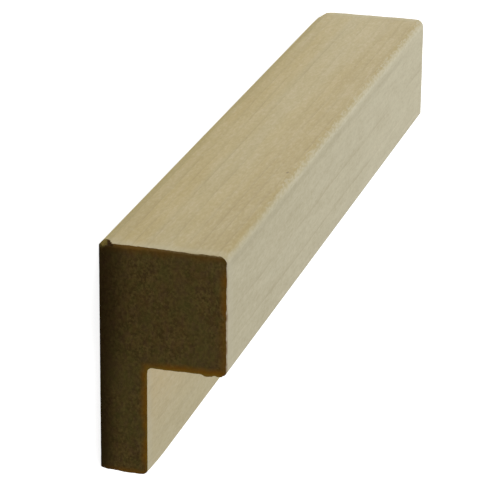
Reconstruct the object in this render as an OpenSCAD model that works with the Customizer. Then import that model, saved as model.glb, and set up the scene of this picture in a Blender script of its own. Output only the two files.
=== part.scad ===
// Back band moulding: one stick of wood, L-shaped in section, that caps the outer edge
// of a flat door or window casing. The thick part lies over the casing's face, the thin
// leg runs down its edge to the wall, and the rebate between them takes the casing.
//
// It lies on its flat outer side, as it comes to rest when nothing holds it.
// X runs from the front face (-X) to the foot of the leg (+X), Y along the length,
// Z up from the outer side. The origin is the middle of the footprint, on the floor.

/* [Stock] */
// Length of the piece
length = 152.4; // [60:0.1:2440]
// Depth off the wall, from the front face to the foot of the leg
depth = 41.275; // [34:0.025:54]
// Width of the front face
face_w = 22.225; // [18:0.025:32]

/* [Rebate] */
// How deep the rebate is, from the roof to the foot: the casing's thickness and a little over
rebate_depth = 19.85; // [12:0.05:26]
// Thickness of the leg beside the rebate
leg_t = 8.4; // [6:0.1:12]
// Radius the cutter leaves in the root of the rebate
root_r = 0.8; // [0.2:0.1:2.5]

/* [Arrises] */
// Radius on the block's long edge between the front face and the inner side
front_arris_r = 1.6; // [0.3:0.1:4]
// Radius on the block's long edge between the inner side and the rebate's roof
roof_arris_r = 0.8; // [0.3:0.1:3]
// Radius on the leg's foot, at the rebate
foot_arris_r = 0.3; // [0.2:0.1:2.5]
// Narrow flat sanded on the two long edges of the outer side, measured along each face
outer_ease = 0.3; // [0.1:0.05:1.2]

/* [Knocked far corner] */
// Reach of the long, shallow facet down the end, from the front face
worn_down = 7; // [2:0.1:10]
// Reach of the shallow facet back along the length
worn_along = 6.5; // [2:0.1:12]
// Reach of the shallow facet across the front face
worn_across = 0.95; // [0.3:0.05:2]
// Reach of the short, steep facet down the end
knock_down = 4; // [1:0.1:8]
// Reach of the steep facet back along the length
knock_along = 1.2; // [0.4:0.1:4]
// Reach of the steep facet across the front face
knock_across = 1.9; // [0.5:0.1:4]

/* [Chip at the near end] */
// Radius of the gouge the saw tore out of the end's top edge
chip_r = 1.3; // [0.9:0.1:3]
// How far across the front face the gouge's middle is
chip_across = 1.4; // [1.4:0.1:8]
// How far off the front face the gouge's axis is where it leaves the end
chip_off_face = 0.7; // [0.2:0.05:0.8]
// How far along the front face the gouge reaches
chip_along = 2.4; // [1:0.1:6]

/* [Colour] */
// Pale, closely grained hardwood
wood = [0.718, 0.659, 0.518];

/* [Hidden] */
$fn = 96;
front_x = -depth / 2;
foot_x = depth / 2;
roof_x = foot_x - rebate_depth;
over = 1;

// What a rounding of radius r takes off a corner at the origin, the wood lying towards +X +Y.
module corner_waste(r) {
    difference() {
        translate([-over, -over]) square(r + over);
        translate([r, r]) circle(r);
    }
}

// What a flat that reaches c along both faces takes off a corner at the origin.
module chamfer_waste(c) {
    rotate(45) square(sqrt(2) * c, center = true);
}

// The bar's own outline before the rebate: a rectangle with its edges eased.
module blank() {
    difference() {
        translate([front_x, 0]) square([depth, face_w]);
        translate([front_x, 0]) chamfer_waste(outer_ease);
        translate([foot_x, 0]) chamfer_waste(outer_ease);
        translate([front_x, face_w]) mirror([0, 1]) corner_waste(front_arris_r);
    }
}

// The rebate's waste, with the cutter's small radius in its root and the eased edges beside it.
module rebate() {
    difference() {
        translate([roof_x, leg_t]) square([rebate_depth + over, face_w - leg_t + over]);
        translate([roof_x, leg_t]) corner_waste(root_r);
    }
    translate([roof_x, face_w]) rotate(180) corner_waste(roof_arris_r);
    translate([foot_x, leg_t]) rotate(180) corner_waste(foot_arris_r);
}

// The section, drawn in the plane the end is sawn to.
module section() {
    difference() {
        blank();
        rebate();
    }
}

// The half space cut off a corner at the origin, the wood lying towards +X +Y +Z,
// by the flat that meets the three edges at a, b and c.
module corner_flat(a, b, c) {
    n = [1 / a, 1 / b, 1 / c];
    s = 2 * max(a, b, c);
    rotate([0, acos(n[2] / norm(n)), atan2(n[1], n[0])])
        translate([-s, -s, 1 / norm(n) - 2 * s]) cube(2 * s);
}

// The far corner of the front face and outer side, knocked off in two flats.
module knocked_corner() {
    translate([front_x, length / 2, 0]) mirror([0, 1, 0]) {
        corner_flat(worn_down, worn_along, worn_across);
        corner_flat(knock_down, knock_along, knock_across);
    }
}

// The gouge torn out of the near end where the saw came through the front face:
// a round hollow that runs out through the face at the end of its reach.
module torn_chip() {
    rise = atan((chip_r - chip_off_face) / chip_along);
    translate([front_x - chip_off_face, -length / 2, chip_across])
        rotate([-90, 0, rise]) cylinder(h = 4 * chip_along, r = chip_r, center = true);
}

module moulding() {
    color(wood)
    difference() {
        rotate([90, 0, 0]) linear_extrude(length, center = true) section();
        knocked_corner();
        torn_chip();
    }
}

moulding();
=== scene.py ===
# %% [markdown]
# Back band moulding, dressed for a picture
#
# A back band is a plain stick of hardwood that caps the outer edge of a door or window
# casing. In section it is an L: a square block that lies over the casing's face, and a thin
# leg that runs down the casing's edge to the wall. This one is a six inch sample, planed on
# its long faces and chopped off at both ends.
#
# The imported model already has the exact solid. What it lacks is what a saw, a planer and
# handling leave behind: torn fibres, softened corners, grain and darkened end grain. This
# lesson builds a finely cut copy of the bar that has them, gives it two wood finishes,
# and lights it plainly.

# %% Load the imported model
import math

import bmesh
import bpy
from mathutils import Matrix, Vector, noise


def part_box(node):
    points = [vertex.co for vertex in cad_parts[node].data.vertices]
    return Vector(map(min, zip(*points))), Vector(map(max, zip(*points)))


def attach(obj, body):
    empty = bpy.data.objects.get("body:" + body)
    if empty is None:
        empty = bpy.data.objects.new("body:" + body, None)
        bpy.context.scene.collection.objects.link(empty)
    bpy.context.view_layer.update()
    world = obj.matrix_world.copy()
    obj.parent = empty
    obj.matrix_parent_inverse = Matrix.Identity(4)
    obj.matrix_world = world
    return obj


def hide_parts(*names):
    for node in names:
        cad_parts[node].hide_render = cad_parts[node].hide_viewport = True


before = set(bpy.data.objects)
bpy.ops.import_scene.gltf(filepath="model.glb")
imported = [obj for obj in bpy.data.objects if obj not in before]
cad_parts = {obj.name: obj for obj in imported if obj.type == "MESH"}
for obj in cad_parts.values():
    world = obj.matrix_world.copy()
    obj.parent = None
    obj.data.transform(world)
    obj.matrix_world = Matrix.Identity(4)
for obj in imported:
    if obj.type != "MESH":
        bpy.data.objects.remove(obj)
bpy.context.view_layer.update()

# %% [markdown]
# Sizes
#
# The bar lies on its flat outer side. X runs from the front face to the leg's foot, Y along
# the length and Z from the outer side up to the inner side, where the rebate is. The overall
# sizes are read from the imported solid, so the copy can't drift away from it. The rebate and
# the small radii are real sizes in millimetres, written once.

# %% Sizes of the bar
MM = 0.001
low, high = (Vector(corner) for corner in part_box("moulding"))
front_x, near_y, outer_z = low
foot_x, far_y, inner_z = high
rebate_depth = 19.85 * MM
leg_thickness = 8.4 * MM
roof_x = foot_x - rebate_depth
leg_z = outer_z + leg_thickness
length = far_y - near_y
print("section", round((foot_x - front_x) / MM, 3), "x", round((inner_z - outer_z) / MM, 3),
      "mm, length", round(length / MM, 1), "mm")

# %% [markdown]
# The outline
#
# A moulding is made by pushing a bar past cutters that all have one outline, so the natural
# way to model it is the same: draw the outline once and sweep it. Six corners make the L.
#
# No edge of a planed bar is a mathematical line, so each corner is a quarter circle, given by
# its radius in millimetres and the number of steps it is drawn in. The edge that shows,
# between the front face and the inner side, is rounded well over and the edge at the rebate's
# roof half as much. The cutter leaves a small radius in the root of the rebate, and the rest
# only lost their sharpness to sandpaper.

# %% Draw the L with rounded corners
corners = [
    ((front_x, outer_z), 0.3, 2),
    ((foot_x, outer_z), 0.3, 2),
    ((foot_x, leg_z), 0.3, 3),
    ((roof_x, leg_z), 0.8, 5),
    ((roof_x, inner_z), 0.8, 5),
    ((front_x, inner_z), 1.6, 8),
]


def towards(place, other, distance):
    """The step of this distance from one place in the section towards another."""
    gap = math.dist(place, other)
    return [(there - here) / gap * distance for here, there in zip(place, other)]


def rounded(index):
    """The quarter circle at one corner, from the side before it to the side after it."""
    place, radius, steps = corners[index]
    side_before = towards(place, corners[index - 1][0], radius * MM)
    side_after = towards(place, corners[(index + 1) % len(corners)][0], radius * MM)
    points = []
    for step in range(steps + 1):
        turn = math.pi / 2 * step / steps
        before, after = 1 - math.sin(turn), 1 - math.cos(turn)
        points.append([here + before * back + after * on
                       for here, back, on in zip(place, side_before, side_after)])
    return points


outline = [point for index in range(len(corners)) for point in rounded(index)]

# %% [markdown]
# Sweeping it
#
# The bar is the outline at the near end, the same outline at the far end, and one long face
# between each two neighbours. Written out like this, its faces come in the same order each
# time the script runs, and so does all that is cut from them.

# %% Sweep the outline along the length
bar = bmesh.new()
near_end = [bar.verts.new((x, near_y, z)) for x, z in outline]
far_end = [bar.verts.new((x, far_y, z)) for x, z in outline]
bar.faces.new(near_end)
bar.faces.new(far_end[::-1])
for at in range(len(outline)):
    bar.faces.new((near_end[at], near_end[at - 1], far_end[at - 1], far_end[at]))
print("swept bar:", len(bar.faces), "faces, volume", round(bar.calc_volume() / MM ** 3), "mm3")

# %% [markdown]
# The knocked corner
#
# The far corner, where the front face meets the outer side, has been knocked: a long shallow
# flat and a short steep one take its point away. A corner flat is a plane that meets the
# corner's three edges at three distances: down the end, back along the length and across the
# front face. Bisecting by that plane throws away the point, and filling the hole closes the
# bar again.

# %% Knock off the far corner
def whole_bar():
    """Every point, edge and face of the bar."""
    return bar.verts[:] + bar.edges[:] + bar.faces[:]


def cut_corner(corner, inward, reach):
    """Cut the flat that meets the corner's three edges at the distances in reach."""
    normal = Vector([side / distance for side, distance in zip(inward, reach)])
    on_plane = corner + Vector((inward[0] * reach[0], 0, 0))
    cut = bmesh.ops.bisect_plane(bar, geom=whole_bar(), plane_co=on_plane, plane_no=-normal,
                                 clear_outer=True)
    rim = [item for item in cut["geom_cut"] if isinstance(item, bmesh.types.BMEdge)]
    bmesh.ops.holes_fill(bar, edges=rim, sides=0)


knocked = Vector((front_x, far_y, outer_z))
inwards = (1, -1, 1)
shallow_flat = (7.0 * MM, 6.5 * MM, 0.95 * MM)
steep_flat = (4.0 * MM, 1.2 * MM, 1.9 * MM)
cut_corner(knocked, inwards, shallow_flat)
cut_corner(knocked, inwards, steep_flat)
print("knocked bar:", len(bar.faces), "faces, open edges",
      sum(not edge.is_manifold for edge in bar.edges))

# %% [markdown]
# Cutting the bar fine
#
# Torn fibres are a fraction of a millimetre, so the mesh needs that many points before it can
# show them. Slicing the whole bar by parallel planes, first across the depth, then across the
# width, then along the length, leaves even little squares on every face. The slices along the
# length crowd towards the ends, where the saw did its damage, and the middle stays coarse:
# saw_reach says how many millimetres in from each end they lie.

# %% Slice the bar into small squares
def slice_bar(axis, places, part=whole_bar):
    """Cut every face of a part of the bar that a plane square to the axis crosses."""
    normal = Vector((0, 0, 0))
    normal[axis] = 1
    for place in places:
        bmesh.ops.bisect_plane(bar, geom=part(), plane_co=normal * place, plane_no=normal)


def even_places(start, stop, pitch):
    """Places between two ends, evenly spread, about one pitch apart."""
    count = round((stop - start) / pitch)
    return [start + (stop - start) * step / count for step in range(1, count)]


X, Y, Z = 0, 1, 2
square, rim_square, plain_square = 0.32 * MM, 0.16 * MM, 4 * MM
rim_depth = 0.8 * MM
slice_bar(X, even_places(front_x, foot_x, square))
slice_bar(Z, even_places(outer_z, inner_z, square))
slice_bar(X, even_places(front_x, front_x + rim_depth, rim_square))

saw_reach = [0.12, 0.26, 0.42, 0.6, 0.8, 1.0, 1.2, 1.4, 1.6, 1.8, 2.0, 2.2, 2.4, 2.6,
             2.9, 3.3, 3.9, 4.8, 6.0]
slice_bar(Y, [near_y + reach * MM for reach in saw_reach])
slice_bar(Y, [far_y - reach * MM for reach in saw_reach])
plain_start, plain_stop = near_y + saw_reach[-1] * MM, far_y - saw_reach[-1] * MM
slice_bar(Y, even_places(plain_start, plain_stop, plain_square))
print("sliced bar:", len(bar.verts), "points,", len(bar.faces), "faces")

# %% [markdown]
# Finer still at the chip
#
# The near corner of the front face is chipped, and a chip two millimetres across needs
# smaller squares still. Bisecting only the faces of that corner leaves the rest as it is: the
# cuts simply end at the neighbouring faces, which take up the extra points. Two faces share
# an edge, so the edges and the points are gathered as the keys of a dict. It holds each one
# once, and unlike a set it keeps their order, so each run numbers the new faces alike.

# %% Slice the near corner smaller
corner_width, corner_depth, corner_length = 3.2 * MM, 1.0 * MM, 3.3 * MM


def near_corner():
    """The faces of the chipped corner, with their points and edges."""
    faces = []
    for face in bar.faces:
        inside = face.calc_center_median() - Vector((front_x, near_y, outer_z))
        if inside.x < corner_depth and inside.y < corner_length and inside.z < corner_width:
            faces.append(face)
    edges = dict.fromkeys(edge for face in faces for edge in face.edges)
    points = dict.fromkeys(vertex for face in faces for vertex in face.verts)
    return [*points, *edges, *faces]


chip_square = 0.08 * MM
slice_bar(X, even_places(front_x, front_x + corner_depth, chip_square), near_corner)
slice_bar(Y, even_places(near_y, near_y + corner_length, chip_square), near_corner)
slice_bar(Z, even_places(outer_z, outer_z + corner_width, chip_square), near_corner)
print("with the corner:", len(bar.verts), "points,", len(bar.faces), "faces")

# %% [markdown]
# What the saw and the handling left
#
# Each kind of damage is a small push on the points it reaches, written as one short function, so
# that it can be read, tested and turned down by itself. All of them push into the wood or into
# the open rebate, so that the bar doesn't grow past the exact solid. Noise gives them their
# unevenness: it is the same every time for the same place, so the bar is too.

# %% Small helpers for the damage
def fade(distance, reach):
    """1 at the place itself, 0 from reach onwards, with a soft shoulder."""
    t = min(max(1 - distance / reach, 0.0), 1.0)
    return t * t * (3 - 2 * t)


def rough(place, grain, seed):
    """Noise from -1 to 1 whose lumps are about one grain across."""
    return noise.noise(Vector((place[0] / grain, place[1] / grain + seed, place[2] / grain)))


def bump(value, start, stop, soft):
    """1 between start and stop, fading to 0 over soft on both sides."""
    return fade(max(start - value, value - stop, 0.0), soft)


def crumbled(place):
    """How much of an edge has crumbled away here, 0 to 1, in bites about a millimetre long."""
    bites, crumbs = rough(place, 1.1 * MM, 1.0), rough(place, 0.4 * MM, 13.0)
    return min(max(0.5 + 1.3 * bites + 0.4 * crumbs, 0.0), 1.0)


# %% [markdown]
# The chip
#
# Where the blade came out through the front face it tore a little gouge from the near end's
# outer corner: a round hollow that is deepest at the end and runs out through the front face
# about two millimetres in. Points inside that round are pushed down to its surface. A little
# noise moves the hollow's outline to and fro, and a little more breaks its floor into fibres.

# %% Gouge the chip out of the near corner
chip_radius = 1.2 * MM
chip_across = outer_z + 1.2 * MM
chip_off_face = 0.7 * MM
chip_reach = 2.4 * MM
chip_drift = 0.4 * MM


def chip_depth(place):
    """How far below the front face the hollow's floor lies at this place."""
    along = (place.y - near_y + 0.3 * MM * rough(place, 0.5 * MM, 6.0)) / chip_reach
    middle = chip_across - chip_drift * along + 0.16 * MM * rough(place, 0.35 * MM, 9.0)
    off_axis = place.z - middle
    if abs(off_axis) >= chip_radius:
        return 0.0
    axis_height = chip_off_face + (chip_radius - chip_off_face) * max(along, 0.0) ** 1.5
    return max(math.sqrt(chip_radius ** 2 - off_axis ** 2) - axis_height, 0.0)


def chip_push(place):
    """How far a point is pushed down to reach the hollow's ragged floor."""
    ragged = 1 + 0.35 * rough(place, 0.3 * MM, 3.0)
    return max(chip_depth(place) * ragged - (place.x - front_x), 0.0)


# %% [markdown]
# The torn rim beside the chip
#
# Next to the chip the blade went on tearing, less and less towards the inner side, so the
# end's top edge lies up to half a millimetre further in than the end itself. Moving the
# points near that edge along the bar, less the further they are from it, keeps the mesh
# whole and leaves a small ragged slope.

# %% Set the torn rim back
tear_depth = 0.5 * MM
tear_along, tear_down = 2 * MM, 0.5 * MM


def torn_rim(place):
    """How far along the bar a point near the end's top edge moves in."""
    from_near, from_front = place.y - near_y, place.x - front_x
    beside_chip = fade(place.z - 5 * MM, 11 * MM) * (1 - fade(place.z - 1.2 * MM, 1.2 * MM))
    ragged = 0.85 + 0.7 * rough((0, 0, place.z), 0.6 * MM, 21.0)
    near_edge = max(1 - from_near / tear_along, 0.0) * max(1 - from_front / tear_down, 0.0)
    return tear_depth * beside_chip * ragged * near_edge


# %% [markdown]
# The burrs
#
# On the two edges where the teeth left the wood, the rebate's roof and the foot, the last
# fibres were pushed out rather than cut. On the roof they hang into the rebate. The foot is
# set back by as much as its fibres stand out, so they end level with the exact solid. Its
# corner at the rebate is rubbed round there, which the last function does: a point outside
# the round moves towards the round's centre.

# %% Hang the burrs on the roof and the foot
burr_reach = 0.7 * MM
roof_burr, foot_burr = 0.24 * MM, 0.2 * MM
tuft_start, tuft_stop = 18.3 * MM, 21.6 * MM
lip_start, lip_stop, lip_share = 10.0 * MM, 22.0 * MM, 0.4
foot_tuft_start, foot_tuft_stop = 4.9 * MM, 6.6 * MM
foot_edge = 1.5 * MM
foot_round, foot_round_reach = 0.9 * MM, 9 * MM


def roof_fibres(place):
    """How far the torn fibres hang below the roof at this place."""
    tuft = bump(place.z, tuft_start, tuft_stop, 0.35 * MM)
    lip = lip_share * bump(place.z, lip_start, lip_stop, 1.0 * MM)
    strands = rough((0, 0, place.z), 0.6 * MM, 11.0)
    ragged = 0.4 + 0.4 * strands + 0.8 * crumbled((0, 0.02, place.z))
    return roof_burr * (tuft + lip) * ragged * fade(place.y - near_y, burr_reach)


def foot_fibres(place):
    """How far in the foot lies at this place: least where its torn fibres stand out."""
    tuft = bump(place.z, foot_tuft_start, foot_tuft_stop, 3.0 * MM)
    ragged = 0.25 * rough((0, 0, place.z), 0.7 * MM, 7.0)
    set_back = max(1 - tuft + ragged + fade(place.z - outer_z, 1.4 * MM), 0.0)
    near_foot = max(1 - (foot_x - place.x) / foot_edge, 0.0)
    return foot_burr * set_back * near_foot * fade(place.y - near_y, 3 * burr_reach)


def rubbed_foot(place):
    """The push that rounds the foot's corner at the rebate, most at the near end."""
    from_centre = Vector((place.x - (foot_x - foot_round), 0, place.z - (leg_z - foot_round)))
    if from_centre.x < 0 or from_centre.z < 0 or from_centre.length < foot_round:
        return Vector((0, 0, 0))
    outside = from_centre.length - foot_round
    return from_centre.normalized() * -outside * fade(place.y - near_y, foot_round_reach)


# %% [markdown]
# Fuzz along the other edges, saw marks and knife ripple
#
# A chop saw leaves the rim of the cut slightly crumbled and the cut face scored in shallow
# arcs. The planer's knives leave a ripple of a few hundredths of a millimetre along the
# length. None is seen by itself, but each breaks up an edge or a reflection. Where the rim
# is torn it has no crumbs of its own.

# %% Push every point by its share of the damage
rim_crumble = 0.1 * MM
near_crumble, far_crumble = 0.14 * MM, 0.04 * MM
front_crumbs_reach, side_crumbs_reach, side_crumbs_share = 0.6 * MM, 0.5 * MM, 0.8
chipped_length, torn_enough = 4 * MM, 0.12 * MM
score_depth, score_pitch = 0.035 * MM, 0.42 * MM
ripple_depth, ripple_pitch = 0.015 * MM, 0.33 * MM
blade_centre = Vector((-95 * MM, 0, 60 * MM))
slack = 0.02 * MM


def score(place):
    """Depth of the saw's arc-shaped scoring on an end."""
    from_blade = math.hypot(place.x - blade_centre.x, place.z - blade_centre.z)
    wave = 0.5 + 0.5 * math.sin(from_blade / score_pitch + 2.5 * rough(place, 9 * MM, 5.0))
    return score_depth * wave * (0.6 + 0.4 * rough(place, 3 * MM, 8.0))


def ripple(place):
    """Depth of the knives' ripple on a planed face."""
    return ripple_depth * (0.5 + 0.5 * math.sin(place.y / ripple_pitch))


def end_damage(vertex, end_side):
    """How far along the bar a point of an end is pushed by the saw."""
    crumbs = rim_crumble * (0.5 + 0.5 * rough(vertex.co, 0.45 * MM, 2.0))
    at_rim = any(abs(face.normal.y) < 0.5 for face in vertex.link_faces)
    return end_side * score(vertex.co) + (end_side * crumbs if at_rim else 0)


def into_the_wood(vertex):
    """The push on one point: the sum of what the saw, the planer and handling did there."""
    place = vertex.co
    push = Vector((0, 0, 0))
    from_near, from_far = place.y - near_y, far_y - place.y
    from_end = min(from_near, from_far)
    end_side, edge_crumble = (1, near_crumble) if from_near < from_far else (-1, far_crumble)
    crumbs = edge_crumble * crumbled(place)
    on_front, on_inner = place.x < front_x + slack, place.z > inner_z - slack
    on_leg = abs(place.z - leg_z) < slack and place.x > roof_x + MM

    if from_end < slack:
        push.y += end_damage(vertex, end_side)
    if place.x < front_x + chip_radius and from_near < chipped_length:
        push.x += chip_push(place)
        push.y += torn_rim(place)
    if on_front:
        torn = min(torn_rim(place) / torn_enough, 1.0) if from_near < tear_along else 0
        push.x += crumbs * (1 - torn) * fade(from_end, front_crumbs_reach) + ripple(place)
    if abs(place.x - roof_x) < slack and place.z > leg_z + MM:
        push.x += roof_fibres(place)
    if place.x > foot_x - foot_edge:
        push.x -= foot_fibres(place)
        push += rubbed_foot(place)
    if on_inner:
        push.z -= ripple(place)
    if on_inner or on_leg:
        push.z -= side_crumbs_share * crumbs * fade(from_end, side_crumbs_reach)
    return push


bar.normal_update()
pushes = [(vertex, into_the_wood(vertex)) for vertex in bar.verts]
for vertex, push in pushes:
    vertex.co += push
print("largest push:", round(max(push.length for _, push in pushes) / MM, 2), "mm")

# %% [markdown]
# Softening the far end's two worn corners
#
# Wood that has been knocked is bruised, not cut, so the flats of the far corner shouldn't
# meet in crisp lines. The corner above it, at the end of the rounded edge, has only been
# handled, and is a little blunt. Smoothing moves each point towards its neighbours, and a few
# rounds of it on the points near both corners turn the flats into one worn shape.

# %% Bruise the far corners
handled = Vector((front_x, far_y, inner_z))
handled_reach = 2.4 * MM
knocked_reach = Vector((6, 7, 2.4)) * MM


def near_a_knock(vertex):
    """True for the points of the two worn corners, and of the faces just beside them."""
    away = vertex.co - knocked
    if all(abs(away[axis]) < knocked_reach[axis] for axis in (X, Y, Z)):
        return True
    return (vertex.co - handled).length < handled_reach


rounds, softness = 5, 0.5
bruised = [vertex for vertex in bar.verts if near_a_knock(vertex)]
for round_of_smoothing in range(rounds):
    bmesh.ops.smooth_vert(bar, verts=bruised, factor=softness,
                          use_axis_x=True, use_axis_y=True, use_axis_z=True)
print("bruised", len(bruised), "points")

# %% [markdown]
# Two kinds of surface on one piece
#
# The planed faces and the sawn ends are one piece of wood with two finishes, so the mesh
# carries two material slots and each face remembers which one it has. A face belongs to an
# end when it looks along the length. The floor of the chip is torn end grain too.

# %% Sort the faces into planed and sawn
end_zone, torn_from = 0.8 * MM, 0.06 * MM
chip_from, chip_floor_end = 0.03 * MM, 0.9 * MM


def is_sawn(face):
    """True for the two ends, the torn rim and the torn floor of the chip."""
    middle = face.calc_center_median()
    below_front = middle.x - front_x
    if min(middle.y - near_y, far_y - middle.y) < end_zone and abs(face.normal.y) > 0.5:
        return True
    if torn_rim(middle) > torn_from and face.normal.y < -0.2:
        return True
    return chip_depth(middle) > chip_from and chip_from < below_front < chip_floor_end


PLANED, SAWN = 0, 1
bar.normal_update()
for face in bar.faces:
    face.material_index = SAWN if is_sawn(face) else PLANED
    face.smooth = True
sawn_faces = sum(face.material_index == SAWN for face in bar.faces)
print("sawn faces:", sawn_faces, "of", len(bar.faces))

# %% [markdown]
# From bmesh to an object
#
# The bar becomes an object at the origin, because its place is already in its mesh. Edges
# sharper than about forty degrees stay sharp in the shading and the rest flow. The new piece
# rides on the row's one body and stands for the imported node, which stays for collision.

# %% Make the object and tell the frame about it
def to_object(mesh_data, name):
    """Turn a finished bmesh into an object at the origin."""
    mesh = bpy.data.meshes.new(name)
    mesh_data.to_mesh(mesh)
    mesh_data.free()
    piece = bpy.data.objects.new(name, mesh)
    bpy.context.scene.collection.objects.link(piece)
    return piece


crisp = math.radians(38)
for edge in bar.edges:
    if edge.is_manifold and edge.calc_face_angle() > crisp:
        edge.smooth = False
stick = to_object(bar, "back_band_stick")
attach(stick, "root")
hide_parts("moulding")
print(stick.name, "has", len(stick.data.polygons), "faces")

# %% [markdown]
# Shader maths that reads like maths
#
# Wood grain is arithmetic on places: a distance, a fraction of a ring, a fade towards an
# edge. Wiring Math nodes by hand hides that, so a small class wraps a socket and makes the
# nodes when two of them are added or multiplied. Colours never pass through it, because a
# Math node would turn them grey.

# %% A socket that can be reckoned with
class Wire:
    """One number over the surface: an output socket in a finish's tree."""

    def __init__(self, finish, socket):
        self.finish, self.socket = finish, socket

    def math(self, operation, *values):
        """A Math node on these values; the inputs left out keep their defaults."""
        node = self.finish.node("ShaderNodeMath", {"operation": operation},
                                dict(enumerate(values)))
        return Wire(self.finish, node.outputs[0])

    def __add__(self, other):
        return self.math("ADD", self, other)

    def __sub__(self, other):
        return self.math("SUBTRACT", self, other)

    def __rsub__(self, other):
        return self.math("SUBTRACT", other, self)

    def __mul__(self, other):
        return self.math("MULTIPLY", self, other)

    def __truediv__(self, other):
        return self.math("DIVIDE", self, other)

    def __pow__(self, other):
        return self.math("POWER", self, other)

    def __neg__(self):
        return self.math("MULTIPLY", self, -1.0)

    __radd__ = __add__
    __rmul__ = __mul__

    def least(self, other):
        return self.math("MINIMUM", self, other)

    def most(self, other):
        return self.math("MAXIMUM", self, other)

    def fraction(self):
        return self.math("FRACT", self)

    def size(self):
        return self.math("ABSOLUTE", self)

    def sine(self):
        return self.math("SINE", self)

    def cosine(self):
        return self.math("COSINE", self)

    def fade_from(self, full, none):
        """1 where this is full, 0 where it is none, smooth between."""
        node = self.finish.node("ShaderNodeMapRange", {"interpolation_type": "SMOOTHSTEP"},
                                {"Value": self, "From Min": none, "From Max": full})
        return Wire(self.finish, node.outputs["Result"])


# %% A finish: the nodes of one material, or of the room, and the way they are made
class Finish:
    """A material or a world whose nodes all come from one method."""

    def __init__(self, owner):
        self.owner = owner
        owner.use_nodes = True
        self.tree = owner.node_tree
        self.tree.nodes.clear()

    def node(self, kind, settings=None, inputs=None):
        """Add a node, set what it is, then fill its sockets with values or links."""
        made = self.tree.nodes.new(kind)
        for key, value in (settings or {}).items():
            setattr(made, key, value)
        for key, value in (inputs or {}).items():
            if isinstance(value, Wire):
                value = value.socket
            if isinstance(value, bpy.types.NodeSocket):
                self.tree.links.new(value, made.inputs[key])
            else:
                made.inputs[key].default_value = value
        return made

    def noise(self, vector, stretch, detail=2.0, roughness=0.5):
        """Noise from 0 to 1, its lumps so many millimetres long on each axis."""
        scale = [1 / size for size in stretch]
        sized = self.node("ShaderNodeVectorMath", {"operation": "MULTIPLY"},
                          {0: vector, 1: scale})
        made = self.node("ShaderNodeTexNoise", {"noise_dimensions": "3D"},
                         {"Vector": sized.outputs[0], "Scale": 1.0, "Detail": detail,
                          "Roughness": roughness})
        return Wire(self, made.outputs["Fac"])

    def mix(self, amount, first, second):
        """Two colours mixed: all of the first at 0, all of the second at 1."""
        made = self.node("ShaderNodeMix", {"data_type": "RGBA"},
                         {0: amount, 6: first, 7: second})
        return made.outputs[2]

    def millimetres(self):
        """The place on the piece in millimetres: the vector and its three numbers."""
        coords = self.node("ShaderNodeTexCoord")
        place = self.node("ShaderNodeMapping", {"vector_type": "POINT"},
                          {"Vector": coords.outputs["Object"], "Scale": (1 / MM, 1 / MM, 1 / MM)})
        parts = self.node("ShaderNodeSeparateXYZ", None, {0: place.outputs[0]})
        return place.outputs[0], *(Wire(self, socket) for socket in parts.outputs)

    def looks_along(self, axis):
        """How squarely the surface faces one way along an axis of the piece, -1 to 1."""
        coords = self.node("ShaderNodeTexCoord")
        parts = self.node("ShaderNodeSeparateXYZ", None, {0: coords.outputs["Normal"]})
        return Wire(self, parts.outputs[axis])

    def surface(self, colour, roughness, shine, height, strength, depth):
        """End the tree in a wood surface, its relief so many millimetres deep."""
        relief = self.node("ShaderNodeBump", None,
                           {"Strength": strength, "Distance": depth * MM, "Height": height})
        shader = self.node("ShaderNodeBsdfPrincipled", None,
                           {"Base Color": colour, "Roughness": roughness,
                            "Specular IOR Level": shine, "Normal": relief.outputs[0]})
        self.node("ShaderNodeOutputMaterial", None, {"Surface": shader.outputs[0]})


class Spot:
    """A place on the stick: its coordinates and its distances from the edges, in mm."""

    def __init__(self, finish):
        self.place, self.x, self.y, self.z = finish.millimetres()
        self.from_front, self.from_foot = self.x - front_x / MM, foot_x / MM - self.x
        self.from_near, self.from_far = self.y - near_y / MM, far_y / MM - self.y
        self.from_inner = inner_z / MM - self.z


def paint(red, green, blue):
    """A colour as a paint chart gives it, 0 to 255, turned into the renderer's linear one."""
    def linear(value):
        value /= 255
        return value / 12.92 if value <= 0.04045 else ((value + 0.055) / 1.055) ** 2.4
    return (linear(red), linear(green), linear(blue), 1.0)


# %% [markdown]
# Growth rings
#
# A tree adds a ring each year, so inside the bar the rings are shells round a centre line,
# the pith, that lies outside the stick and runs along it. Reckoning the distance from the
# pith at each place, in all three dimensions, makes the grain agree on every face: a line
# that leaves the front over the edge goes on down the sawn end. Good and poor years take
# turns, which a slow sine gives: it widens some rings and narrows the next.

# %% The rings, shared by both finishes
ring_pitch = 2.1
pith_x, pith_z = -71.8, -63.6
ring_start = -40.19
good_years, good_years_span, good_years_start = 0.26, 1.88, 5.48
ring_sway, ring_shiver = 0.9, 0.35


def growth_rings(finish, spot):
    """Where each place is in its year's ring: 0 where the year begins, 1 where it ends."""
    sway = finish.noise(spot.place, (30, 60, 30), detail=1.0) - 0.5
    shiver = finish.noise(spot.place, (2.5, 14, 2.5), detail=2.0) - 0.5
    radius = ((spot.x - pith_x) ** 2.0 + (spot.z - pith_z) ** 2.0) ** 0.5
    radius = radius + sway * ring_sway + shiver * ring_shiver
    years = radius / ring_pitch + ring_start
    years = years + (radius / good_years_span + good_years_start).sine() * good_years
    return years.fraction()
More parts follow.
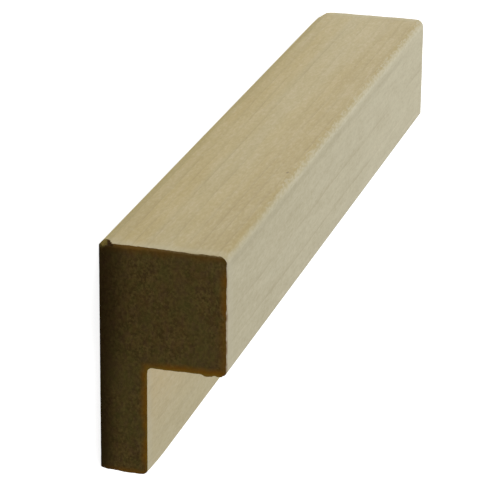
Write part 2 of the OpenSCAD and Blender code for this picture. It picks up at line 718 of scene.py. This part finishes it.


# %% [markdown]
# The planed faces
#
# Planed maple is nearly plain. Its colour drifts between a warm and a cooler cream in bands
# along the length, a thin darker line ends each year's ring, and the whole surface is
# covered with faint flecks a few millimetres long, where the cut runs through the rays. The
# inner side is paler and cooler than the front, and both grow paler towards the far end.
# The rebate is painted a little lighter and more golden: painted light that makes up for the
# shade the block casts into it. The colours were judged.

# %% Planed wood: which face a place is on
def on_side_and_in_rebate(finish, spot):
    """How far a place belongs to the inner side and to the rebate. The rest is the front."""
    off_front = (-finish.looks_along(0)).fade_from(0.28, 0.92)
    looks_at_wall = finish.looks_along(0).fade_from(0.95, 0.6)
    on_side = off_front * spot.z.fade_from(18.0, 12.0) * (1 - looks_at_wall)
    return on_side, off_front - on_side


# %% Planed wood: the three tones
def front_tone(finish, spot):
    """The front's cream: cool down its middle and far off, deeper towards the rounding."""
    band = (spot.z - 10.2).size().fade_from(1.2, 5.0)
    far = spot.from_far.fade_from(0.0, 75.0)
    wander = finish.noise(spot.place, (4, 45, 4), detail=2.0).fade_from(0.7, 0.3)
    cool = (band * 0.45 + far * 0.4 + wander * 0.4).least(1.0)
    tone = finish.mix(cool, paint(178, 160, 110), paint(178, 165, 126))
    return finish.mix(spot.z.fade_from(17.0, 12.0) * 0.5, tone, paint(168, 152, 110))


def side_tone(finish, spot):
    """The inner side's cream: paler and cooler towards the far end."""
    along = spot.from_near / (length / MM)
    wander = finish.noise(spot.place, (4, 50, 4), detail=2.0) - 0.5
    paler = (along + wander * 0.8).fade_from(0.9, 0.05)
    return finish.mix(paler, paint(178, 170, 139), paint(186, 179, 151))


def rebate_tone_painted_lighter(finish, spot):
    """The rebate's cream, painted lighter to make up for the block's shade: more golden by the
    roof than by the foot.
    """
    towards_foot = spot.x.fade_from(foot_x / MM - 2, roof_x / MM + 3)
    return finish.mix(towards_foot, paint(193, 176, 132), paint(189, 177, 137))


# %% [markdown]
# Flecks, streaks and clouds
#
# Three noises at three scales make the wood's own unevenness. Flecks are cut rays, short and
# fine. Streaks are runs of pores, almost as thin but far longer. Clouds are patches where the
# fibres lean a little more towards the light. Flecks and clouds lighten the wood where their
# noise is high, and all three darken it where it is low. In the rebate the streaks are faint.

# %% Planed wood: the unevenness of the surface
fleck_size, streak_size, cloud_size = (0.45, 1.5, 0.45), (0.6, 28, 0.6), (1.8, 11.0, 1.8)


def uneven_wood(finish, spot, colour, in_rebate):
    """The colour with flecks, streaks and clouds in it, then the flecks and the streaks."""
    fleck = finish.noise(spot.place, fleck_size, detail=3.0, roughness=0.7)
    streak = finish.noise(spot.place, streak_size, detail=3.0, roughness=0.6)
    cloud = finish.noise(spot.place, cloud_size, detail=2.0, roughness=0.6)
    pale = fleck.fade_from(0.7, 0.48) * 0.24 + cloud.fade_from(0.68, 0.45) * 0.12
    dark = fleck.fade_from(0.3, 0.52) * 0.2
    dark = dark + streak.fade_from(0.25, 0.5) * (0.12 - in_rebate * 0.09)
    dark = dark + cloud.fade_from(0.32, 0.55) * 0.08
    colour = finish.mix(pale, colour, paint(204, 194, 166))
    return finish.mix(dark, colour, paint(142, 124, 84)), fleck, streak


# %% [markdown]
# The lines of the years
#
# Wood laid down late in the year is denser and darker, and stops short where the next spring
# begins. So a line darkens slowly up to the end of its ring and ends there at once. On the
# inner side every third line or so is much stronger, as after a dry year, and in the rebate
# all of them are faint.

# %% Planed wood: the year's lines
dry_year_pitch, dry_year_x = 6.0, -10.24


def year_lines(finish, spot, on_side, in_rebate):
    """How much late wood there is at a place, and how strongly its line shows there."""
    ring = growth_rings(finish, spot)
    strong_here = finish.noise(spot.place, (2.5, 30, 2.5), detail=1.0).fade_from(0.66, 0.36)
    late_wood = ring.fade_from(1.0, 0.6) * 0.5 + ring.fade_from(1.0, 0.86) * 0.5
    line = late_wood * (strong_here * 0.65 + 0.35)
    turn_of_years = (spot.x - dry_year_x) * (2 * math.pi / dry_year_pitch)
    wet_year = 0.5 - turn_of_years.cosine() * 0.5
    strength = on_side * (0.04 - wet_year * 0.26) - in_rebate * 0.16 + 0.29
    return line, line * strength


# %% [markdown]
# The rubbed edge and its painted highlight
#
# The rounding between the front and the inner side has been rubbed by handling. Its crest shows
# as a pale stripe about a millimetre and a half wide, with a toothed border on the front's side,
# and is hardly there near the sawn end. The stripe is partly that wear and partly a painted
# highlight, the glint of the lamps on the rounding. Where a place lies on the rounding is
# measured by how much further it is from the front than from the inner side. A faint dark line
# runs along the inner side just below it, where dirt has been pushed.

# %% Planed wood: the pale stripe on the rounding and the dark line below it
def wear_and_highlight_stripe(finish, spot):
    """How pale the crest of the rounding is here, 0 off it: partly rubbed wear, partly a painted
    highlight.
    """
    across = spot.from_front - spot.from_inner + 0.3
    stripe_strong_here = spot.from_near.fade_from(46.0, 18.0)
    teeth = finish.noise(spot.place, (0.7, 2.0, 0.7), detail=2.0, roughness=0.6) - 0.5
    toothed = across + teeth * 5.0 + stripe_strong_here * 0.9
    below_crest = (across - stripe_strong_here * 0.4).fade_from(0.9, 1.9)
    stripe = toothed.fade_from(0.75, 0.3) * across.fade_from(-0.5, -1.2) * below_crest
    strength = stripe_strong_here * 0.11 + spot.from_near.fade_from(120.0, 50.0) * 0.04 + 0.24
    stripe_patches = finish.noise(spot.place, (0.45, 1.4, 0.45), detail=1.0).fade_from(0.57, 0.43)
    return (stripe * strength * (stripe_patches * 1.1 + 0.4)).least(1.0)


def dirt_line_and_highlit_wear(finish, spot, colour, on_side):
    """The colour with the dark line and the pale stripe on it, then the stripe."""
    below_stripe = (spot.from_front - 2.2 - spot.from_near * 0.006).size()
    dirty_line = below_stripe.fade_from(0.1, 0.9) * on_side * spot.from_far.fade_from(25.0, 8.0)
    colour = finish.mix(dirty_line * 0.16, colour, paint(134, 124, 92))
    stripe = wear_and_highlight_stripe(finish, spot)
    # The pale stripe: partly wear, partly a painted highlight on the rounding.
    return finish.mix(stripe * 0.8, colour, paint(198, 192, 170)), stripe


# %% [markdown]
# The rims of the planed faces
#
# Along the outer side the front is painted a little darker and olive, a painted shade along the
# side the stick lies on. Near each end the planed wood is bleached for a few millimetres, where
# loose fibres scatter the light, and on the inner side the blade singed the very edge, in
# patches. One dark speck sits beside the rubbed edge.

# %% Planed wood: painted shade on the outer rim, bleached and singed rims, and the speck
speck_y, speck_z, speck_long, speck_wide = -31.4, 20.6, 0.7, 0.36


def rims(finish, spot, colour, on_side):
    """The colour with the painted shade along the outer side, the other marks of the edges and
    the speck on it.
    """
    # Painted shade: the front turns darker and olive along the outer side.
    painted_outer_shade = spot.z.fade_from(0.2, 1.6) * (-finish.looks_along(0)).fade_from(0.9, 0.4)
    colour = finish.mix(painted_outer_shade * 0.6, colour, paint(160, 148, 92))
    off_y, off_z = (spot.y - speck_y) / speck_long, (spot.z - speck_z) / speck_wide
    speck = (off_y ** 2.0 + off_z ** 2.0) ** 0.5
    colour = finish.mix(speck.fade_from(0.3, 1.0) * 0.5, colour, paint(92, 74, 44))

    blanched = spot.from_near.fade_from(1.0, 3.6) * (1 - on_side) * 0.3
    blanched = blanched + spot.from_near.fade_from(1.5, 6.0) * on_side * 0.35
    blanched = blanched + spot.from_far.fade_from(0.4, 2.6) * 0.45
    colour = finish.mix(blanched, colour, paint(186, 179, 152))
    patchy = finish.noise(spot.place, (1.2, 6, 1.2), detail=1.0).fade_from(0.56, 0.36)
    by_front = spot.from_front.fade_from(11.0, 8.0) * 0.5 + 0.5
    singed = spot.from_near.fade_from(0.1, 1.2) * on_side * by_front
    return finish.mix(singed * (patchy * 0.5 + 0.5), colour, paint(112, 84, 30))


# %% [markdown]
# Painted shade in the chip
#
# The torn hollow is painted dark as a painted shade: nearly black brown in its deep part, olive
# towards the outer edge, where it spreads a little over the rim as well. Planed and sawn faces
# meet in the hollow, so both finishes take this painted shade from one function and their border
# doesn't show.

# %% Painted shade in the chip, shared by both finishes
def painted_chip_shade(finish, spot, colour):
    """The colour with the chip's painted shade over it, and how strongly each place is shaded."""
    crumbly = finish.noise(spot.place, (0.4, 0.6, 0.4), detail=2.0) - 0.5
    below_front = spot.from_front.fade_from(0.12, 0.02) * spot.from_front.fade_from(0.8, 1.1)
    along = spot.from_near.fade_from(2.5, 2.9) * spot.from_near.fade_from(0.16, 0.04)
    across = spot.z.fade_from(2.3, 2.6) * spot.z.fade_from(0.3, 0.1)
    sunk = below_front * along * across
    by_edge = (spot.z + crumbly).fade_from(0.8, 1.3)
    by_end = (spot.from_near + crumbly * 1.5).fade_from(1.9, 2.6)
    spread = by_edge * by_end * (spot.from_front + crumbly).fade_from(0.5, 1.0) * 0.9
    chip_shade_amount = sunk.most(spread)
    shallow = spot.from_front.fade_from(0.2, 0.9) * 0.4 + 0.6
    olive = (spot.z + crumbly * 1.6).fade_from(0.5, 1.2) * shallow
    # Painted shade: dark brown deep in the hollow, olive by the outer edge.
    chip_shade_colour = finish.mix(olive, paint(54, 35, 5), paint(114, 98, 46))
    return finish.mix(chip_shade_amount, colour, chip_shade_colour), chip_shade_amount


# %% [markdown]
# The planed finish, layer on layer
#
# The finish starts from the tone of each face and lays one kind of mark over another, as a
# painter would. Each layer is one of the functions above: it takes the colour so far and gives
# back the colour with its marks on it. Rough places are the hollow of the chip and the rubbed
# edge, and the year's lines sink a little, because the dense late wood shrinks more.

# %% Planed wood: the whole finish
def planed_wood():
    finish = Finish(bpy.data.materials.new("planed_hardwood"))
    spot = Spot(finish)
    on_side, in_rebate = on_side_and_in_rebate(finish, spot)
    colour = finish.mix(on_side, front_tone(finish, spot), side_tone(finish, spot))
    # Painted light: the rebate is painted lighter to offset the shade the block casts in it.
    colour = finish.mix(in_rebate, colour, rebate_tone_painted_lighter(finish, spot))

    colour, fleck, streak = uneven_wood(finish, spot, colour, in_rebate)
    line, line_shows = year_lines(finish, spot, on_side, in_rebate)
    colour = finish.mix(line_shows, colour, paint(134, 118, 82))
    # The rubbed edge's pale stripe is partly a painted highlight.
    colour, stripe = dirt_line_and_highlit_wear(finish, spot, colour, on_side)
    # The rims include painted shade along the outer side.
    colour = rims(finish, spot, colour, on_side)
    # Painted shade in the chip.
    colour, chip_shade_amount = painted_chip_shade(finish, spot, colour)

    roughness = streak * 0.12 + stripe * 0.08 + chip_shade_amount * 0.4 + 0.52
    height = streak * 0.5 + fleck * 0.5 - line * 0.4
    finish.surface(colour, roughness, shine=0.3, height=height, strength=0.2, depth=0.05)
    return finish.owner


# %% [markdown]
# The sawn ends
#
# Across the grain the cut fibres drink in light and dirt, so the ends are a deep olive brown, and
# towards the outer side they are painted darker still, as painted shade. Up close it is a felt of
# fine dots, short strands that run from the front towards the foot, and patches that drank more
# or less.

# %% Sawn end grain: the felt of cut fibres
def end_grain(finish, spot):
    """The brown of the cut fibres, then the finest and the middle noise for the relief."""
    fine = finish.noise(spot.place, (0.5, 3, 0.42), detail=2.0, roughness=0.6)
    strands = finish.noise(spot.place, (3.0, 8, 0.5), detail=2.0, roughness=0.6)
    mottle = finish.noise(spot.place, (1.6, 8, 1.1), detail=3.0, roughness=0.6)
    wide = finish.noise(spot.place, (7, 20, 5), detail=2.0)
    drunk = finish.noise(spot.place, (1.3, 8, 0.9), detail=2.0, roughness=0.6)
    late_wood = growth_rings(finish, spot).fade_from(1.0, 0.7)

    colour = finish.mix(fine.fade_from(0.68, 0.32), paint(72, 56, 20), paint(116, 98, 52))
    colour = finish.mix(strands.fade_from(0.7, 0.4) * 0.35, colour, paint(80, 62, 28))
    colour = finish.mix(mottle.fade_from(0.68, 0.36) * 0.45, colour, paint(104, 80, 38))
    colour = finish.mix(wide.fade_from(0.66, 0.4) * 0.4, colour, paint(94, 86, 40))
    colour = finish.mix(drunk.fade_from(0.66, 0.5) * 0.3, colour, paint(92, 66, 46))
    colour = finish.mix(drunk.fade_from(0.34, 0.5) * 0.3, colour, paint(84, 82, 32))
    return finish.mix(late_wood * 0.12, colour, paint(66, 52, 26)), fine, mottle


# %% [markdown]
# The scorched rim
#
# The blade rubbed longest where it left the wood, so the rim is scorched: brown along the
# front edge, and a stronger orange brown round the inner side and the rebate. The distance
# to each edge wanders by up to half a millimetre, so the scorch doesn't look ruled.

# %% Sawn end grain: the scorch
def scorched(finish, spot, colour):
    """The colour with the scorch of each edge on it."""
    wander = (finish.noise(spot.place, (2.2, 9, 2.2), detail=2.0) - 0.5) * 0.9
    from_inner, from_foot = spot.from_inner + wander, spot.from_foot + wander
    from_front = spot.from_front + wander
    from_roof = (roof_x / MM - spot.x).most(0.0)
    from_leg = (leg_z / MM - spot.z).most(0.0)
    from_rebate = (from_roof ** 2.0 + from_leg ** 2.0) ** 0.5 + wander

    uneven = finish.noise(spot.place, (3.5, 9, 3.5), detail=1.0).fade_from(0.45, 0.2)
    clear_of_foot = 1 - from_foot.fade_from(1.2, 3.6) * 0.6
    scorch = from_rebate.fade_from(0.1, 1.6) * 0.85 * clear_of_foot
    past_corner = spot.from_front.fade_from(4.5, 1.5) * 0.8 + 0.2
    towards_roof = spot.x.fade_from(-11.0, -8.0) * 0.25 + 0.45
    scorch = scorch.most(from_inner.fade_from(0.0, 1.7) * towards_roof * past_corner)
    colour = finish.mix(scorch * uneven, colour, paint(138, 90, 0))
    colour = finish.mix(from_rebate.fade_from(0.0, 0.45) * 0.5, colour, paint(142, 116, 40))
    colour = finish.mix(from_foot.fade_from(0.0, 1.3) * 0.8, colour, paint(128, 84, 8))
    return finish.mix(from_front.fade_from(0.1, 1.8) * 0.7, colour, paint(112, 76, 18))


# %% [markdown]
# Painted shade on the outer side, frayed edge
#
# Towards the outer side the end is painted almost black: painted shade. Along the front edge the
# fibres are frayed, so their pale sides show as a thin broken fringe, and the tear beside the
# chip is painted browner and lighter than the rest, partly painted light that offsets the shade
# on its slope.

# %% Sawn end grain: the painted shade on the outer side and the frayed edge
def painted_shade_and_fray(finish, spot, colour):
    """The colour with painted shade towards the outer side, the fringe and the tear on it."""
    # Painted shade: darker towards the outer side, nearly black at the outer edge.
    painted_shade_reach = 6.4 - spot.x.fade_from(6.0, -8.0) * 2.6
    dark = (spot.z / painted_shade_reach).fade_from(0.06, 1.0)
    colour = finish.mix(dark * 0.72, colour, paint(42, 22, 0))

    frayed = spot.from_front.fade_from(0.05, 0.55) * spot.z.fade_from(17.0, 7.0)
    fringe = finish.noise(spot.place, (3, 3, 0.45), detail=1.0).fade_from(0.62, 0.4) * 0.5 + 0.5
    colour = finish.mix(frayed * fringe * 0.75, colour, paint(156, 138, 96))
    # The tear's brown is partly its own and partly painted light, lighter to offset the shade on
    # its slope.
    on_tear = spot.from_near.fade_from(0.3, 0.1) * spot.from_front.fade_from(0.6, 0.9)
    return finish.mix(on_tear * 0.6, colour, paint(100, 74, 30))


# %% Sawn end grain: the whole finish
def sawn_ends():
    finish = Finish(bpy.data.materials.new("sawn_end_grain"))
    spot = Spot(finish)
    colour, fine, mottle = end_grain(finish, spot)
    colour = scorched(finish, spot, colour)
    # Painted shade towards the outer side, then the fringe and the tear.
    colour = painted_shade_and_fray(finish, spot, colour)
    # Painted shade in the chip.
    colour, chip_shade_amount = painted_chip_shade(finish, spot, colour)

    height = fine * 0.7 + mottle * 0.3
    finish.surface(colour, fine * 0.1 + 0.8, shine=0.12, height=height, strength=0.4, depth=0.08)
    return finish.owner


stick.data.materials.append(planed_wood())
stick.data.materials.append(sawn_ends())
print("finishes:", [material.name for material in stick.data.materials])

# %% [markdown]
# The camera
#
# A long lens, about 200 mm, from half a metre away keeps the stick's edges almost parallel.
# The stick lies on its side here but stands on its foot in the picture, so the camera is
# rolled a quarter turn: the picture's up is the way the front face looks.

# %% Place the camera
eye = Vector((-178.94, -485.6, 138.85)) * MM
look_at = Vector((-2.4, -24.33, 11.83)) * MM
picture_up = Vector((-1, 0, -0.0098))

backwards = (eye - look_at).normalized()
right = picture_up.cross(backwards).normalized()
upwards = backwards.cross(right)
turn = Matrix((right, upwards, backwards)).transposed().to_4x4()
focal_length, film_width = 199.0, 36.0
lens = bpy.data.cameras.new("long_lens")
lens.lens, lens.sensor_width = focal_length, film_width
camera = bpy.data.objects.new("camera", lens)
camera.matrix_world = Matrix.Translation(eye) @ turn
bpy.context.scene.collection.objects.link(camera)
bpy.context.scene.camera = camera
print("camera", round((eye - look_at).length / MM), "mm from what it looks at")

# %% [markdown]
# Floor and background
#
# The floor is a plain pale sheet that runs past the picture on every side. To the camera it
# glows a little as well, so that open floor is white and only the stick's own shadow shows.
# Everything else, the light it throws back included, sees an ordinary pale sheet.

# %% Lay the floor
sheet_grey, sheet_glow = 0.6, 0.78
white = (1, 1, 1, 1)


def pale_floor(size):
    """A square sheet on the ground, so many metres from its middle to its side."""
    sheet = bmesh.new()
    bmesh.ops.create_grid(sheet, x_segments=1, y_segments=1, size=size)
    floor = to_object(sheet, "floor")
    finish = Finish(bpy.data.materials.new("pale_sheet"))
    grey = (sheet_grey, sheet_grey, sheet_grey, 1)
    diffuse = finish.node("ShaderNodeBsdfDiffuse", None, {"Color": grey})
    glow = finish.node("ShaderNodeEmission", None, {"Color": white, "Strength": sheet_glow})
    both = finish.node("ShaderNodeAddShader", None, {0: diffuse.outputs[0], 1: glow.outputs[0]})
    path = finish.node("ShaderNodeLightPath")
    seen = Wire(finish, path.outputs["Is Camera Ray"])
    seen = seen.most(Wire(finish, path.outputs["Is Glossy Ray"]))
    seen = seen.most(Wire(finish, path.outputs["Is Transmission Ray"]))
    chosen = finish.node("ShaderNodeMixShader", None,
                         {0: seen, 1: diffuse.outputs[0], 2: both.outputs[0]})
    finish.node("ShaderNodeOutputMaterial", None, {"Surface": chosen.outputs[0]})
    floor.data.materials.append(finish.owner)
    return floor


floor = pale_floor(3.0)
print("floor", [round(side, 1) for side in floor.dimensions], "m")

# %% [markdown]
# Light
#
# Two big soft boxes: one overhead for the inner side, one off to the side for the front face.
# Neither faces the near end, so the end stays in the quiet light of the room, as it does in
# the picture. The level is plain: a painted colour comes out about as it was mixed.

# %% Hang the lamps and light the room
def soft_box(name, place, width, height, watts):
    """A rectangular white lamp at a place, turned to face the origin."""
    lamp = bpy.data.lights.new(name, "AREA")
    lamp.shape = "RECTANGLE"
    lamp.size, lamp.size_y = width, height
    lamp.energy = watts
    holder = bpy.data.objects.new(name, lamp)
    facing = (-Vector(place)).to_track_quat("-Z", "Y")
    holder.matrix_world = Matrix.Translation(Vector(place)) @ facing.to_matrix().to_4x4()
    bpy.context.scene.collection.objects.link(holder)


soft_box("overhead", place=(0.3, 0.42, 0.85), width=0.8, height=0.8, watts=7.3)
soft_box("beside_front", place=(-0.88, 0.16, 0.28), width=0.8, height=0.5, watts=5.5)

room_light, backdrop_light = 0.3, 1.0
room = Finish(bpy.data.worlds.new("room"))
sky = room.node("ShaderNodeBackground", None, {"Color": white, "Strength": room_light})
backdrop = room.node("ShaderNodeBackground", None, {"Color": white, "Strength": backdrop_light})
ray = room.node("ShaderNodeLightPath")
seen = room.node("ShaderNodeMixShader", None, {0: ray.outputs["Is Camera Ray"],
                                               1: sky.outputs[0], 2: backdrop.outputs[0]})
room.node("ShaderNodeOutputWorld", None, {"Surface": seen.outputs[0]})
bpy.context.scene.world = room.owner
bpy.context.scene.view_settings.view_transform = "Standard"
